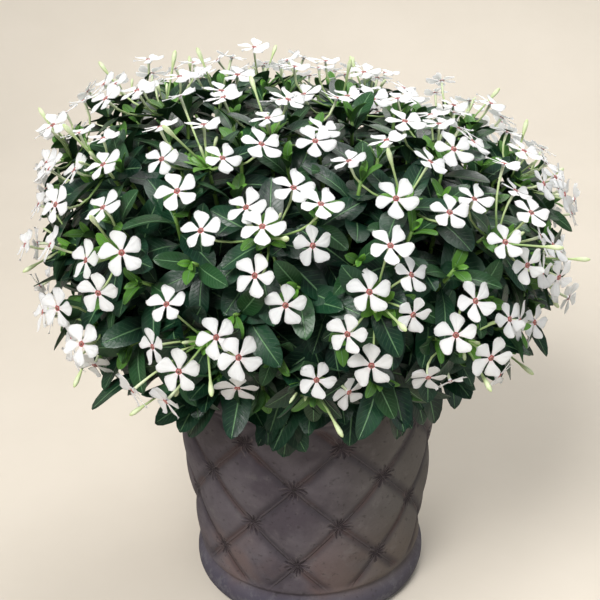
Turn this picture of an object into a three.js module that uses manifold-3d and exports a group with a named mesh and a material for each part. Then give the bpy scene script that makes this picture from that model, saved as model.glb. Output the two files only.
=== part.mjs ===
// A madagascar periwinkle in full bloom in a quilted clay pot, in millimetres, with +Z up.
// The origin is the middle of the pot's flat underside.
import * as THREE from 'three';
import Module from 'manifold-3d';

const wasm = await Module();
wasm.setup();

// The pot: a tapered wall with a quilted lattice, a rolled foot and a plain rounded rim.
const POT = {
  height: 200, footHeight: 24, wallFoot: 28, wallHead: 187,
  soleRadius: 87, footRadius: 93.5, rollRadius: 95.5, grooveRadius: 90,
  lowRadius: 92.4, highRadius: 105.8, rimRadius: 109, mouthRadius: 97, floorRadius: 81,
  floor: 12, drains: 3, drainRadius: 5, drainCircle: 48, drainSides: 8, sides: 36, turn: -56.7,
};
// The lattice: nine crossings in a row, every other row half a step round, between soft pillows.
const QUILT = { firstRow: 55.5, rowRise: 36.9, halfRows: 9, pillow: 4.4, sunk: 2.6 };
// The soil fills the pot to a little below its rim, with a plain hole for the foot of each stem.
const SOIL = { level: 180, crown: 7, holeDepth: 22, gap: 0.3 };
// The dome that the blooms stand in: its reach, its rise and its drop from the widest level, and
// how far down from its top the blooms and the shoots go, in degrees.
const DOME = {
  reach: 197, rise: 119, middle: 287, power: 2.8, drop: 98, lowPower: 2.2,
  bloomTurn: 113, shootTurn: 131, steps: 400, lobes: 5, lobeShare: 0.025, slope: 0.2,
};
// The stems, each of which carries one wedge of the dense foliage inside the dome.
const STEM = { count: 5, radius: 3.2, sides: 6, foot: 42, head: 58, turn: 0.4 };
// The dense foliage inside, by radius and height from the bottom up, with ridges round it.
const CORE = {
  rows: [[102, 211], [128, 238], [132, 285], [112, 322], [44, 344]],
  sides: 15, ridge: 6, waves: [2.1, 1.7], gap: 0.6,
};
// The shoots stand out of the cores: how far they are sunk in, bend, and keep off a wedge's side.
const SHOOT = {
  count: 42, radius: 1.4, sides: 4, length: 60, lean: 20, sag: 9, upward: 0.1, twist: 0.7, aside: 7,
};
// A head's hub, where its tubes meet, with the dome's surface this far beyond it.
const HUB = { below: 24, radius: 2.5, seat: 0.3 };
// The blooms stand on a spiral that starts this many radians round, and face out of the dome.
const BLOOM = {
  count: 245, radius: 15, spare: 0.2, gather: 0.15, shift: 13, depth: 16, tilt: 0.8, upward: 0.3,
  fan: 0.5, cup: 1.1, crown: 1.5, rootTube: 1.2, petals: 5, tubeSides: 3, tries: 30, turn: 2.45,
};
// A petal's outline: the turn from its own middle in degrees, and the share of the bloom's radius.
const PETAL = [{ turn: -22, reach: 0.9 }, { turn: 20, reach: 1 }, { turn: 36, reach: 0.2 }];
// The inner corners between petals that the tube starts from, and what is left between them.
const TUBE_CORNERS = [2, 8, 14];
const UNDER_TUBE = [[2, 8, 5], [8, 14, 11]];
// A bud's spindle is twisted by this many degrees between its foot and its bulge.
const BUD = {
  radius: 1.8, length: 12, bulge: 0.6, twist: 25,
  rise: 29, riseSpread: 0.3, tube: 0.8, spread: 1.3, tries: 16,
};
// The leaves of each level, by its distance below the shoot's tip, with their opening in degrees,
// on as many of the shoot's four sides as are counted.
// A leaf's outline is in shares of its length: where it is broadest and where its end is cut off.
const LEAF = {
  apart: [5, 23], angles: [52, 72], sizes: [0.9, 1.08], counts: [4, 2], around: 4,
  length: 42, lengthSpread: 0.2, halfWidth: 8.8, thickness: 1.5, root: 1.6, rootShare: 0.25,
  droop: 0.2, hang: 0.5, broad: 0.4, blunt: 0.78, bluntShare: 0.8,
  swing: 60, tip: 34, roll: 40, tries: 16,
};
// The leaves that stand out of the core's lower edge and hang over the rim, in two rows.
const SKIRT = {
  count: 48, rows: [{ radius: 108, height: 227, dip: 50 }, { radius: 116, height: 243, dip: 36 }],
  length: 50, swing: 1.3, dipSpread: 40, rootShare: 0.4, tries: 12,
};
// What a try keeps off other pieces, and a rise that keeps a level direction from having no length.
const GAP = 0.3;
const SLIGHT = 0.01;
// A hub's levels of three corners each, which make a ball of twenty faces that stands on one.
const HUB_LEVELS = [[37.377, 0], [79.188, 60], [100.812, 0], [142.623, 60]].map(
  ([tilt, turn]) => ({ tilt: (tilt * Math.PI) / 180, turn: (turn * Math.PI) / 180 }));
const HUB_FACES = [[0, 1, 2], [9, 11, 10]];
for (let step = 0; step < 3; step += 1) {
  const [next, last] = [(step + 1) % 3, (step + 2) % 3];
  HUB_FACES.push([step, 3 + step, next], [step, 6 + step, 3 + step], [step, 3 + last, 6 + step]);
  HUB_FACES.push([3 + step, 6 + step, 9 + step], [3 + step, 9 + step, 6 + next]);
  HUB_FACES.push([6 + step, 9 + last, 9 + step]);
}
// Where the draws of each kind of piece start, and how far apart its pieces and tries are.
const DRAWS = { bloom: 1000000, bud: 2000000, leaf: 3000000, skirt: 4000000, each: 1000, perTry: 10 };
const GOLDEN_TURN = Math.PI * (3 - Math.sqrt(5));
const UP = new THREE.Vector3(0, 0, 1);
const HORIZONTAL = [new THREE.Vector3(1, 0, 0), new THREE.Vector3(0, 1, 0)];
const COLOURS = {
  pot: { color: 0x6f6460, roughness: 0.92 },
  soil: { color: 0x2c2119, roughness: 0.98 },
  leafy_stem: { color: 0x2b5a34, roughness: 0.42 },
  bloom_head: { color: 0xf4f2ee, roughness: 0.6 },
};

// An even draw from 0 to 1 for a whole number, which is squared over and over modulo a prime.
function draw(index) {
  const modulus = 67108859;
  let state = (index * 69621 + 1013) % modulus;
  for (let step = 0; step < 3; step += 1) state = (state * state + 1013) % modulus;
  return state / modulus;
}

// The draws of one try at placing a piece, each from 0 to 1.
function drawsOf(kind, piece, attempt) {
  const first = DRAWS[kind] + piece * DRAWS.each + attempt * DRAWS.perTry;
  return Array.from({ length: DRAWS.perTry }, (_, which) => draw(first + which));
}

const radians = (degrees) => (degrees * Math.PI) / 180;

// A draw from 0 to 1 as a number that is spread evenly round nought.
const spreadOut = (drawn, width) => width * (drawn - 0.5);

const polar = (radius, angle, height) => (
  new THREE.Vector3(radius * Math.cos(angle), radius * Math.sin(angle), height));

// The sum of vectors, each times a number.
const blend = (...terms) => terms.reduce(
  (sum, [vector, share]) => sum.addScaledVector(vector, share), new THREE.Vector3());

// A closed solid from points and the triangles between them, anticlockwise as seen from outside.
function solidOf(points, triangles) {
  return new wasm.Manifold(new wasm.Mesh({
    numProp: 3,
    vertProperties: new Float32Array(points.flatMap((point) => point.toArray())),
    triVerts: new Uint32Array(triangles.flat()),
  }));
}

// A closed solid through rings of points, from a point below the first to one above the last.
function ringSolid(rings, splitBack = () => false, ends = [rings[0], rings.at(-1)].map(middleOf)) {
  const sides = rings[0].length;
  const triangles = [];
  rings.slice(1).forEach((_, row) => {
    for (let column = 0; column < sides; column += 1) {
      const [a, b] = [row * sides + column, row * sides + ((column + 1) % sides)];
      const [c, d] = [a + sides, b + sides];
      if (splitBack(row, column)) triangles.push([a, b, c], [b, d, c]);
      else triangles.push([a, b, d], [a, d, c]);
    }
  });
  const total = rings.length * sides;
  for (let column = 0; column < sides; column += 1) {
    const next = (column + 1) % sides;
    triangles.push([total, next, column]);
    triangles.push([total + 1, total - sides + column, total - sides + next]);
  }
  return solidOf([...rings.flat(), ...ends], triangles);
}

// The middle of a few points.
function middleOf(ring) {
  return blend(...ring.map((point) => [point, 1 / ring.length]));
}

// A ring of points round a middle, in the plane of two directions.
function ringRound(middle, side, across, radius, sides) {
  return Array.from({ length: sides }, (_, step) => {
    const angle = (2 * Math.PI * step) / sides;
    return blend([middle, 1], [side, radius * Math.cos(angle)], [across, radius * Math.sin(angle)]);
  });
}

// A direction across another one, as level as can be, and the one at right angles to both.
function acrossOf(way) {
  const level = new THREE.Vector3(-way.y, way.x, SLIGHT).cross(way).normalize();
  return [level, way.clone().cross(level)];
}

function meshOf(name, kind, solid) {
  const { vertProperties, triVerts } = solid.getMesh();
  const geometry = new THREE.BufferGeometry();
  geometry.setAttribute('position', new THREE.BufferAttribute(vertProperties, 3));
  geometry.setIndex(new THREE.BufferAttribute(triVerts, 1));
  geometry.computeVertexNormals();
  const material = new THREE.MeshStandardMaterial({ ...COLOURS[kind], metalness: 0 });
  const mesh = new THREE.Mesh(geometry, material);
  mesh.name = name;
  return mesh;
}

// What stands so far, to keep clear of: each solid with its node and its box.
const standing = [];

function stand(node, solid) {
  standing.push({ node, solid, box: solid.boundingBox() });
  return solid;
}

function boxesMeet(first, second) {
  return [0, 1, 2].every((axis) => (
    first.min[axis] < second.max[axis] && second.min[axis] < first.max[axis]));
}

// Whether a solid is clear of all that stands, apart from the nodes that it is let into.
function isClear(solid, besides) {
  const box = solid.boundingBox();
  return standing.every((other) => (
    besides.includes(other.node) || !boxesMeet(box, other.box)
    || solid.intersect(other.solid).isEmpty()));
}

// The pot

// The quilt's height over the wall, on a grid of quarter steps round and half rows up.
function quiltHeight(column, row) {
  const rising = Math.sin((Math.PI * (column - row)) / 4);
  const falling = Math.sin((Math.PI * (column + row)) / 4);
  return QUILT.pillow * Math.sqrt(Math.abs(rising * falling)) - QUILT.sunk;
}

// A ring of the pot's or the soil's points at one height.
function potRing(radiusAt, height) {
  const start = radians(POT.turn);
  return Array.from({ length: POT.sides }, (_, column) => (
    polar(radiusAt(column), start + (2 * Math.PI * column) / POT.sides, height)));
}

function makePot() {
  const plainRing = ([radius, height]) => potRing(() => radius, height);
  const foot = [
    [POT.soleRadius, 0], [POT.footRadius, 3], [POT.rollRadius, POT.footHeight / 2],
    [POT.footRadius, POT.footHeight - 4], [POT.grooveRadius, POT.footHeight],
    [POT.lowRadius - 1, POT.wallFoot],
  ].map(plainRing);
  const slope = (POT.highRadius - POT.lowRadius) / (POT.wallHead - POT.wallFoot);
  const quilt = Array.from({ length: QUILT.halfRows }, (_, step) => {
    const row = step - 1;
    const height = QUILT.firstRow + (row * QUILT.rowRise) / 2;
    const wall = POT.lowRadius + slope * (height - POT.wallFoot);
    return potRing((column) => wall + quiltHeight(column, row), height);
  });
  const rim = [
    [POT.highRadius - 1, POT.wallHead], [POT.rimRadius, POT.wallHead + 3],
    [POT.rimRadius, POT.height - 3], [POT.rimRadius - 3, POT.height],
    [POT.mouthRadius, POT.height], [POT.floorRadius, POT.floor],
  ].map(plainRing);
  // Each square of the quilt is split along the lattice line that crosses it.
  const splitBack = (row, column) => {
    const quiltRow = row - foot.length - 1;
    return row >= foot.length && (column + quiltRow + 1) % 4 === 0;
  };
  let solid = ringSolid([...foot, ...quilt, ...rim], splitBack);
  for (let drain = 0; drain < POT.drains; drain += 1) {
    const angle = radians(POT.turn) + (2 * Math.PI * drain) / POT.drains;
    const bore = [-1, POT.floor + 1].map((height) => ringRound(
      polar(POT.drainCircle, angle, height), ...HORIZONTAL, POT.drainRadius, POT.drainSides));
    solid = solid.subtract(ringSolid(bore));
  }
  return solid;
}

// The soil

function makeSoil() {
  const inside = (height) => (POT.floorRadius - SOIL.gap
    + ((POT.mouthRadius - POT.floorRadius) * (height - POT.floor)) / (POT.height - POT.floor));
  const bottom = POT.floor + SOIL.gap;
  const rings = [
    potRing(() => inside(bottom), bottom),
    potRing(() => inside(SOIL.level), SOIL.level),
  ];
  const crown = new THREE.Vector3(0, 0, SOIL.level + SOIL.crown);
  let solid = ringSolid(rings, undefined, [new THREE.Vector3(0, 0, bottom), crown]);
  for (let stem = 0; stem < STEM.count; stem += 1) {
    const radius = STEM.radius + 2 * SOIL.gap;
    const hole = [SOIL.level - SOIL.holeDepth - SOIL.gap, POT.height].map((height) => ringRound(
      polar(STEM.foot, middleTurn(stem), height), ...HORIZONTAL, radius, STEM.sides));
    solid = solid.subtract(ringSolid(hole));
  }
  return solid;
}

// The dome

// The dome's profile from the top down, with its surface so far.
const PROFILE = [];
for (let step = 0; step <= DOME.steps; step += 1) {
  const turn = radians((DOME.shootTurn * step) / DOME.steps);
  const low = turn > Math.PI / 2;
  const share = 2 / (low ? DOME.lowPower : DOME.power);
  const radius = DOME.reach * Math.sin(turn) ** share;
  const side = low ? -DOME.drop : DOME.rise;
  const height = DOME.middle + side * Math.abs(Math.cos(turn)) ** share;
  const before = PROFILE.at(-1) ?? { radius, height, area: 0 };
  const length = Math.hypot(radius - before.radius, height - before.height);
  const area = before.area + Math.PI * (radius + before.radius) * length;
  PROFILE.push({ radius, height, area });
}
const SHOOT_AREA = PROFILE.at(-1).area;
const BLOOM_AREA = PROFILE[Math.round((DOME.steps * DOME.bloomTurn) / DOME.shootTurn)].area;

// A height in the dome, above whose widest level one side is lower than the other.
function leaning(height, x) {
  const above = Math.max(0, height - DOME.middle);
  return height - (above * DOME.slope * x) / DOME.reach;
}

// A place on the dome where this much of its surface is above it, with the way out there.
function domePlace(wanted, angle) {
  const next = Math.max(1, PROFILE.findIndex((row) => row.area >= wanted));
  const [above, below] = [PROFILE[next - 1], PROFILE[next]];
  const part = (wanted - above.area) / (below.area - above.area);
  const lobe = 1 + DOME.lobeShare * Math.sin(DOME.lobes * angle);
  const radius = (above.radius + part * (below.radius - above.radius)) * lobe;
  const level = above.height + part * (below.height - above.height);
  const height = leaning(level, radius * Math.cos(angle));
  const out = polar(above.height - below.height, angle, below.radius - above.radius).normalize();
  return { point: polar(radius, angle, height), out, angle };
}

// The leafy stems

const middleTurn = (stem) => (2 * Math.PI * (stem + STEM.turn)) / STEM.count;

// A stem with its wedge of the core, which keeps half a gap off both of its sides.
function stemSolid(stem) {
  const rings = CORE.rows.map(([radius, height], row) => Array.from(
    { length: CORE.sides }, (_, column) => {
      const angle = middleTurn(0) + (2 * Math.PI * column) / CORE.sides;
      const ridge = CORE.ridge * Math.sin(CORE.waves[0] * column + CORE.waves[1] * row);
      const point = polar(radius + ridge, angle, height + ridge);
      return point.setZ(leaning(point.z, point.x));
    }));
  const half = Math.PI / STEM.count;
  const way = middleTurn(stem);
  const corner = polar(CORE.gap / 2 / Math.sin(half), way, SOIL.level);
  const far = 2 * DOME.reach;
  const wedge = [0, far].map((rise) => [
    polar(0, 0, rise), polar(far, way - half, rise), polar(far, way + half, rise),
  ].map((point) => point.add(corner)));
  const run = [
    [STEM.foot, SOIL.level - SOIL.holeDepth], [STEM.foot, SOIL.level + SOIL.crown],
    [STEM.head, CORE.rows[1][1]],
  ].map(([radius, height]) => ringRound(
    polar(radius, way, height), ...HORIZONTAL, STEM.radius, STEM.sides));
  return ringSolid(rings).intersect(ringSolid(wedge)).add(ringSolid(run));
}

// A shoot, which rises out of its stem's core and ends below its head's hub.
function shootRun(index) {
  const share = (index + 0.5) / SHOOT.count;
  const { point, out, angle } = clearOfSides(share * SHOOT_AREA, index * GOLDEN_TURN);
  const side = polar(1, angle + Math.PI / 2, 0);
  const axis = blend([out, 1], [UP, SHOOT.upward]).normalize();
  const hub = blend([point, 1], [out, -HUB.below]);
  const tip = blend([hub, 1], [axis, -HUB.seat]);
  const root = blend([tip, 1], [axis, -SHOOT.length], [UP, -SHOOT.sag]);
  const curve = new THREE.QuadraticBezierCurve3(root, blend([tip, 1], [axis, -SHOOT.lean]), tip);
  return { stem: stemAt(point), tip, curve, axis, hub, out, side, twist: index * SHOOT.twist };
}

// Which stem's wedge a point is in.
function stemAt({ x, y }) {
  const turns = (Math.atan2(y, x) - middleTurn(-0.5)) / (2 * Math.PI);
  return Math.floor(STEM.count * (turns - Math.floor(turns)));
}

// A place on the dome that is turned off the sides of its wedge where it is too near one.
function clearOfSides(wanted, angle) {
  const sector = (2 * Math.PI) / STEM.count;
  const { x, y } = domePlace(wanted, 0).point;
  const radius = Math.max(SHOOT.aside, Math.hypot(x, y) - SHOOT.length);
  const most = Math.max(0, sector / 2 - SHOOT.aside / radius);
  const middle = Math.round((angle - middleTurn(0)) / sector) * sector + middleTurn(0);
  return domePlace(wanted, middle + Math.max(-most, Math.min(most, angle - middle)));
}

// The point of a shoot at a distance below its tip, with the shoot's direction there.
function alongShoot({ curve }, distance) {
  const spans = [curve.v0.distanceTo(curve.v1), curve.v1.distanceTo(curve.v2)];
  const place = 1 - distance / (spans[0] + spans[1]);
  return { point: curve.getPoint(place), along: curve.getTangent(place) };
}

// A shoot's section, whose flat sides face its leaves.
function shootRing({ side, twist }, point, along, radius) {
  const across = along.clone().cross(side).normalize();
  const turn = twist + Math.PI / SHOOT.sides;
  const turned = blend([side, Math.cos(turn)], [across, Math.sin(turn)]);
  return ringRound(point, turned, along.clone().cross(turned).normalize(), radius, SHOOT.sides);
}

// The two rings that a level's leaves grow from, lower one first.
function levelRings(shoot, level) {
  const { point, along } = alongShoot(shoot, LEAF.apart[level]);
  return [-0.5, 0.5].map((step) => (
    shootRing(shoot, blend([point, 1], [along, step * LEAF.root]), along, SHOOT.radius)));
}

function shootSolid(shoot) {
  const rings = [shootRing(shoot, shoot.curve.v0, shoot.curve.getTangent(0), SHOOT.radius)];
  for (let level = LEAF.apart.length - 1; level >= 0; level -= 1) {
    rings.push(...levelRings(shoot, level));
  }
  rings.push(shootRing(shoot, shoot.tip, shoot.axis, SHOOT.radius));
  return ringSolid(rings);
}

// The bloom heads

// The twelve corners of a hub, three at each of four levels, on a ball that stands on one face.
function hubCorners(shoot) {
  const across = shoot.axis.clone().cross(shoot.side);
  return HUB_LEVELS.flatMap(({ tilt, turn }) => ringRound(
    blend([heartOf(shoot), 1], [shoot.axis, HUB.radius * Math.cos(tilt)]),
    blend([shoot.side, Math.cos(turn)], [across, Math.sin(turn)]),
    blend([shoot.side, -Math.sin(turn)], [across, Math.cos(turn)]),
    HUB.radius * Math.sin(tilt), 3));
}

function heartOf(shoot) {
  return blend([shoot.hub, 1], [shoot.axis, -HUB.radius * Math.cos(HUB_LEVELS[3].tilt)]);
}

// One try at a bloom: its middle, the way it faces, its first petal's way and its radius.
function bloomTry(index, attempt, shoot) {
  const draws = drawsOf('bloom', index, attempt);
  const { point, out, angle } = bloomPlace(index);
  const side = polar(1, angle + Math.PI / 2, 0);
  const slope = out.clone().cross(side);
  const inward = blend([shoot.hub, 1], [point, -1]);
  const middle = blend(
    [point, 1], [inward, BLOOM.gather], [out, -BLOOM.gather * inward.dot(out)],
    [side, spreadOut(draws[0], BLOOM.shift)], [slope, spreadOut(draws[1], BLOOM.shift)],
    [out, spreadOut(draws[2], BLOOM.depth)]);
  const way = blend([middle, 1], [heartOf(shoot), -1]).normalize();
  const facing = blend(
    [out, 1], [UP, BLOOM.upward], [way, BLOOM.fan], [side, spreadOut(draws[3], BLOOM.tilt)],
    [slope, spreadOut(draws[4], BLOOM.tilt)]).normalize();
  const start = side.clone().cross(facing).normalize()
    .applyAxisAngle(facing, 2 * Math.PI * draws[5]);
  return { middle, facing, start, way, radius: BLOOM.radius * (1 - BLOOM.spare * draws[6]) };
}

function bloomPlace(index) {
  return domePlace(((index + 0.5) / BLOOM.count) * BLOOM_AREA, index * GOLDEN_TURN + BLOOM.turn);
}

// A small ring across a tube where it leaves the hub, for the tests.
function rootRing(heart, way) {
  const middle = blend([heart, 1], [way, HUB.radius]);
  return ringRound(middle, ...acrossOf(way), BLOOM.rootTube, BLOOM.tubeSides);
}

// The corners of one ring of three in the order that twists least from those of another.
function untwisted(ring, root) {
  const [high, low] = [middleOf(ring), middleOf(root)];
  const turned = (turn) => root.map((_, step) => ring[(step + turn) % root.length]);
  const twist = (turn) => turned(turn).reduce((sum, corner, step) => (
    sum + blend([corner, 1], [high, -1], [root[step], -1], [low, 1]).length()), 0);
  return turned([0, 1, 2].reduce((best, other) => (twist(other) < twist(best) ? other : best)));
}

// A bloom as one closed shape: five petals over a three-sided tube, grown by a margin for tests.
function bloomSolid({ middle, facing, start, radius }, root, margin = 0) {
  const across = facing.clone().cross(start);
  const outline = [];
  for (let petal = 0; petal < BLOOM.petals; petal += 1) {
    PETAL.forEach(({ turn, reach }) => {
      const angle = (2 * Math.PI * petal) / BLOOM.petals + radians(turn);
      const distance = reach * radius + margin;
      outline.push(blend([middle, 1], [facing, BLOOM.cup * reach * reach - margin],
        [start, distance * Math.cos(angle)], [across, distance * Math.sin(angle)]));
    });
  }
  const corners = outline.length;
  const crown = blend([middle, 1], [facing, BLOOM.crown + margin]);
  const low = untwisted(root, TUBE_CORNERS.map((at) => outline[at]));
  const triangles = [...UNDER_TUBE];
  for (let step = 0; step < corners; step += 1) {
    triangles.push([corners, step, (step + 1) % corners]);
  }
  for (let first = 0; first < corners; first += PETAL.length) {
    const notch = (first + corners - 1) % corners;
    triangles.push([notch, first + 1, first], [notch, first + 2, first + 1]);
  }
  for (let step = 0; step < BLOOM.tubeSides; step += 1) {
    const next = (step + 1) % BLOOM.tubeSides;
    const [c, d] = [step, next].map((at) => corners + 1 + at);
    triangles.push([TUBE_CORNERS[step], c, TUBE_CORNERS[next]], [TUBE_CORNERS[next], c, d]);
  }
  triangles.push([corners + 1, corners + 3, corners + 2]);
  return solidOf([...outline, crown, ...low], triangles);
}

// One try at a bud, which stands beside the blooms: its way out and how far it rises.
function budTry(index, attempt, shoot) {
  const draws = drawsOf('bud', index, attempt);
  const slope = shoot.axis.clone().cross(shoot.side);
  const way = blend([shoot.axis, 1], [shoot.side, spreadOut(draws[0], BUD.spread)],
    [slope, spreadOut(draws[1], BUD.spread)]).normalize();
  const rise = BUD.rise * (1 + spreadOut(draws[2], BUD.riseSpread));
  return { way, heart: heartOf(shoot), rise };
}

// A bud as one closed shape: a slim, twisted spindle on a tube.
function budSolid({ way, rise, heart }, root, margin = 0) {
  const sides = BLOOM.tubeSides;
  const [level, upright] = acrossOf(way);
  const ring = (distance, radius, turn) => ringRound(
    blend([heart, 1], [way, distance]), blend([level, Math.cos(turn)], [upright, Math.sin(turn)]),
    blend([level, -Math.sin(turn)], [upright, Math.cos(turn)]), radius + margin, sides);
  const tube = untwisted(ring(rise, BUD.tube, 0), root);
  const bulge = untwisted(ring(rise + BUD.length * BUD.bulge, BUD.radius, radians(BUD.twist)), tube);
  const tip = blend([heart, 1], [way, rise + BUD.length + margin]);
  const triangles = [[0, 2, 1]];
  for (let step = 0; step < sides; step += 1) {
    const next = (step + 1) % sides;
    [0, sides].forEach((low) => {
      const [a, b, c, d] = [step, next, step + sides, next + sides].map((at) => low + at);
      triangles.push([a, b, d], [a, d, c]);
    });
    triangles.push([2 * sides + step, 2 * sides + next, 3 * sides]);
  }
  return solidOf([...root, ...tube, ...bulge, tip], triangles);
}

// The free face of a head's hub that looks a tube's way most nearly.
function faceFor(shoot, way) {
  const facing = ({ normal }) => normal.dot(way);
  return shoot.faces.reduce((best, other) => (facing(other) > facing(best) ? other : best));
}

// The faces of a hub that tubes may grow from: all but the one that it stands on.
function freeFaces(shoot) {
  const corners = hubCorners(shoot);
  return HUB_FACES.filter((face) => face !== HUB_FACES[1]).map((face) => {
    const root = face.map((at) => corners[at]);
    return { root, normal: middleOf(root).sub(heartOf(shoot)).normalize() };
  });
}

// The leaves

const levelOf = (index) => Math.floor(index / LEAF.around) % LEAF.apart.length;

// One try at a leaf: its root on the shoot, its way out, its upper face and its length.
function leafTry(index, attempt, shoot) {
  const level = levelOf(index);
  const draws = drawsOf('leaf', index, attempt);
  const { point, along } = alongShoot(shoot, LEAF.apart[level]);
  const across = along.clone().cross(shoot.side).normalize();
  const quarter = (2 * Math.PI * (index % LEAF.around)) / LEAF.around + shoot.twist;
  const swing = quarter + spreadOut(draws[1], radians(LEAF.swing));
  const away = blend([shoot.side, Math.cos(swing)], [across, Math.sin(swing)]);
  const opening = radians(LEAF.angles[level] + spreadOut(draws[2], LEAF.tip));
  const hang = LEAF.hang * (1 - Math.max(0, shoot.out.z));
  const way = blend([along, Math.cos(opening)], [away, Math.sin(opening)], [UP, -hang]).normalize();
  const inner = blend([along, Math.sin(opening)], [away, -Math.cos(opening)]);
  const face = blend([inner, 1], [way, -inner.dot(way)]).normalize()
    .applyAxisAngle(way, spreadOut(draws[3], radians(LEAF.roll)));
  const length = LEAF.length * LEAF.sizes[level] * (1 + spreadOut(draws[4], LEAF.lengthSpread));
  return { root: point, way, face, length };
}

// A leaf's points beyond its root: raised along its midrib, bent down past its broadest part.
function leafPoints({ root, way, face, length }, margin = 0) {
  const width = face.clone().cross(way);
  const half = (LEAF.halfWidth * length) / LEAF.length;
  const at = (share, aside, lift) => blend(
    [root, 1], [way, share * length], [width, aside],
    [face, lift - LEAF.droop * length * Math.max(0, share - LEAF.broad)]);
  const [broad, blunt] = [half + margin, half * LEAF.bluntShare + margin];
  return [
    at(LEAF.broad, broad, -margin), at(LEAF.broad, -broad, -margin),
    at(LEAF.blunt, blunt, -margin), at(LEAF.blunt, -blunt, -margin),
    at(1 + margin / length, 0, -margin), at(LEAF.broad, 0, LEAF.thickness + margin),
  ];
}

// The faces of a leaf beyond its broadest part and below it.
const LEAF_OUTER = [
  [0, 5, 2], [2, 5, 4], [4, 5, 3], [3, 5, 1], [0, 2, 1], [1, 2, 3], [2, 4, 3],
];

// A leaf that starts in a point at its root, or some way along itself for the tests.
function looseLeaf(leaf, margin, start) {
  const stalk = blend([leaf.root, 1], [leaf.way, start * leaf.length]);
  const points = [...leafPoints(leaf, margin), stalk];
  return solidOf(points, [...LEAF_OUTER, [6, 5, 0], [1, 5, 6], [6, 0, 1]]);
}

// A leaf that grows out of one flat side of its shoot, between the two rings of its level.
function leafSolid(leaf, index, shoot) {
  const column = (index + SHOOT.sides - 1) % SHOOT.sides;
  const next = (column + 1) % SHOOT.sides;
  const [low, high] = levelRings(shoot, levelOf(index));
  const points = [...leafPoints(leaf), low[column], low[next], high[next], high[column]];
  return solidOf(points, [
    ...LEAF_OUTER, [9, 5, 8], [8, 5, 0], [1, 5, 9], [7, 0, 1], [6, 7, 1], [7, 8, 0], [6, 1, 9],
    [6, 8, 7], [6, 9, 8],
  ]);
}

// One try at a leaf of the skirt, whose root is sunk into the core near its lower edge.
function skirtTry(index, attempt) {
  const draws = drawsOf('skirt', index, attempt);
  const row = SKIRT.rows[index % SKIRT.rows.length];
  const angle = (2 * Math.PI * (index + spreadOut(draws[0], 1))) / SKIRT.count;
  const [out, side] = [polar(1, angle, 0), polar(1, angle + Math.PI / 2, 0)];
  const dip = radians(row.dip + spreadOut(draws[1], SKIRT.dipSpread));
  const way = blend([out, Math.cos(dip)], [UP, -Math.sin(dip)],
    [side, spreadOut(draws[2], SKIRT.swing)]).normalize();
  const upper = blend([out, Math.sin(dip)], [UP, Math.cos(dip)]);
  const face = blend([upper, 1], [way, -upper.dot(way)]).normalize()
    .applyAxisAngle(way, spreadOut(draws[3], radians(LEAF.roll)));
  const length = SKIRT.length * (1 + spreadOut(draws[4], LEAF.lengthSpread));
  return { root: polar(row.radius, angle, row.height), way, face, length };
}

// The whole plant in its pot

const twoDigits = (index) => String(index + 1).padStart(2, '0');
const stems = Array.from({ length: STEM.count }, (_, stem) => `leafy_stem_${stem + 1}`);
const shoots = Array.from({ length: SHOOT.count }, (_, index) => {
  const shoot = shootRun(index);
  const [name, head] = [stems[shoot.stem], `bloom_head_${twoDigits(index)}`];
  const solid = solidOf(hubCorners(shoot), HUB_FACES);
  return { ...shoot, name, head, faces: freeFaces(shoot), headSolid: solid, leafySolid: shootSolid(shoot) };
});
stand('pot', makePot());
stand('soil', makeSoil());
const stemSolids = stems.map((name, stem) => stand(name, stemSolid(stem)));
shoots.forEach((shoot) => stand(shoot.name, shoot.leafySolid));
shoots.forEach((shoot) => stand(shoot.head, shoot.headSolid));

// A whole with a piece that grows out of some of its facets, if they meet nowhere else.
function joined(whole, piece, facets) {
  const sum = whole.add(piece);
  return sum.numTri() <= whole.numTri() + piece.numTri() - 2 * facets ? sum : undefined;
}

// Adds a bloom or a bud to a head, on the free face of its hub that suits it best, where the first
// of its tries is clear of all else.
function addTube(shoot, tries, makeTry, makeSolid) {
  const heart = heartOf(shoot);
  for (let attempt = 0; attempt < tries; attempt += 1) {
    const tube = makeTry(attempt);
    const face = faceFor(shoot, tube.way);
    const solid = makeSolid(tube, face.root);
    const clear = isClear(makeSolid(tube, rootRing(heart, tube.way), GAP), [shoot.head])
      && isClear(solid, [shoot.head]);
    const whole = clear && joined(shoot.headSolid, solid, 1);
    if (whole) {
      shoot.headSolid = whole;
      shoot.faces = shoot.faces.filter((other) => other !== face);
      stand(shoot.head, solid);
      return;
    }
  }
}

for (let index = 0; index < BLOOM.count; index += 1) {
  const { point } = bloomPlace(index);
  const shoot = shoots.reduce((nearest, other) => (
    other.hub.distanceTo(point) < nearest.hub.distanceTo(point) ? other : nearest));
  addTube(shoot, BLOOM.tries, (attempt) => bloomTry(index, attempt, shoot), bloomSolid);
}
shoots.forEach((shoot, index) => addTube(
  shoot, BUD.tries, (attempt) => budTry(index, attempt, shoot), budSolid));

// Adds a leaf to a shoot, likewise, and keeps it off the rest of its stem beyond its root.
function addLeaf(shoot, index) {
  for (let attempt = 0; attempt < LEAF.tries; attempt += 1) {
    const leaf = leafTry(index, attempt, shoot);
    const solid = leafSolid(leaf, index, shoot);
    const clear = isClear(looseLeaf(leaf, GAP, 0), [shoot.name])
      && isClear(looseLeaf(leaf, 0, LEAF.rootShare), []) && isClear(solid, [shoot.name]);
    const whole = clear && joined(shoot.leafySolid, solid, 2);
    if (whole) {
      shoot.leafySolid = whole;
      stand(shoot.name, solid);
      return;
    }
  }
}

for (let level = 0; level < LEAF.apart.length; level += 1) {
  shoots.forEach((shoot, order) => {
    for (let around = 0; around < LEAF.counts[level]; around += 1) {
      addLeaf(shoot, (order * LEAF.apart.length + level) * LEAF.around + around);
    }
  });
}

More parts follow.
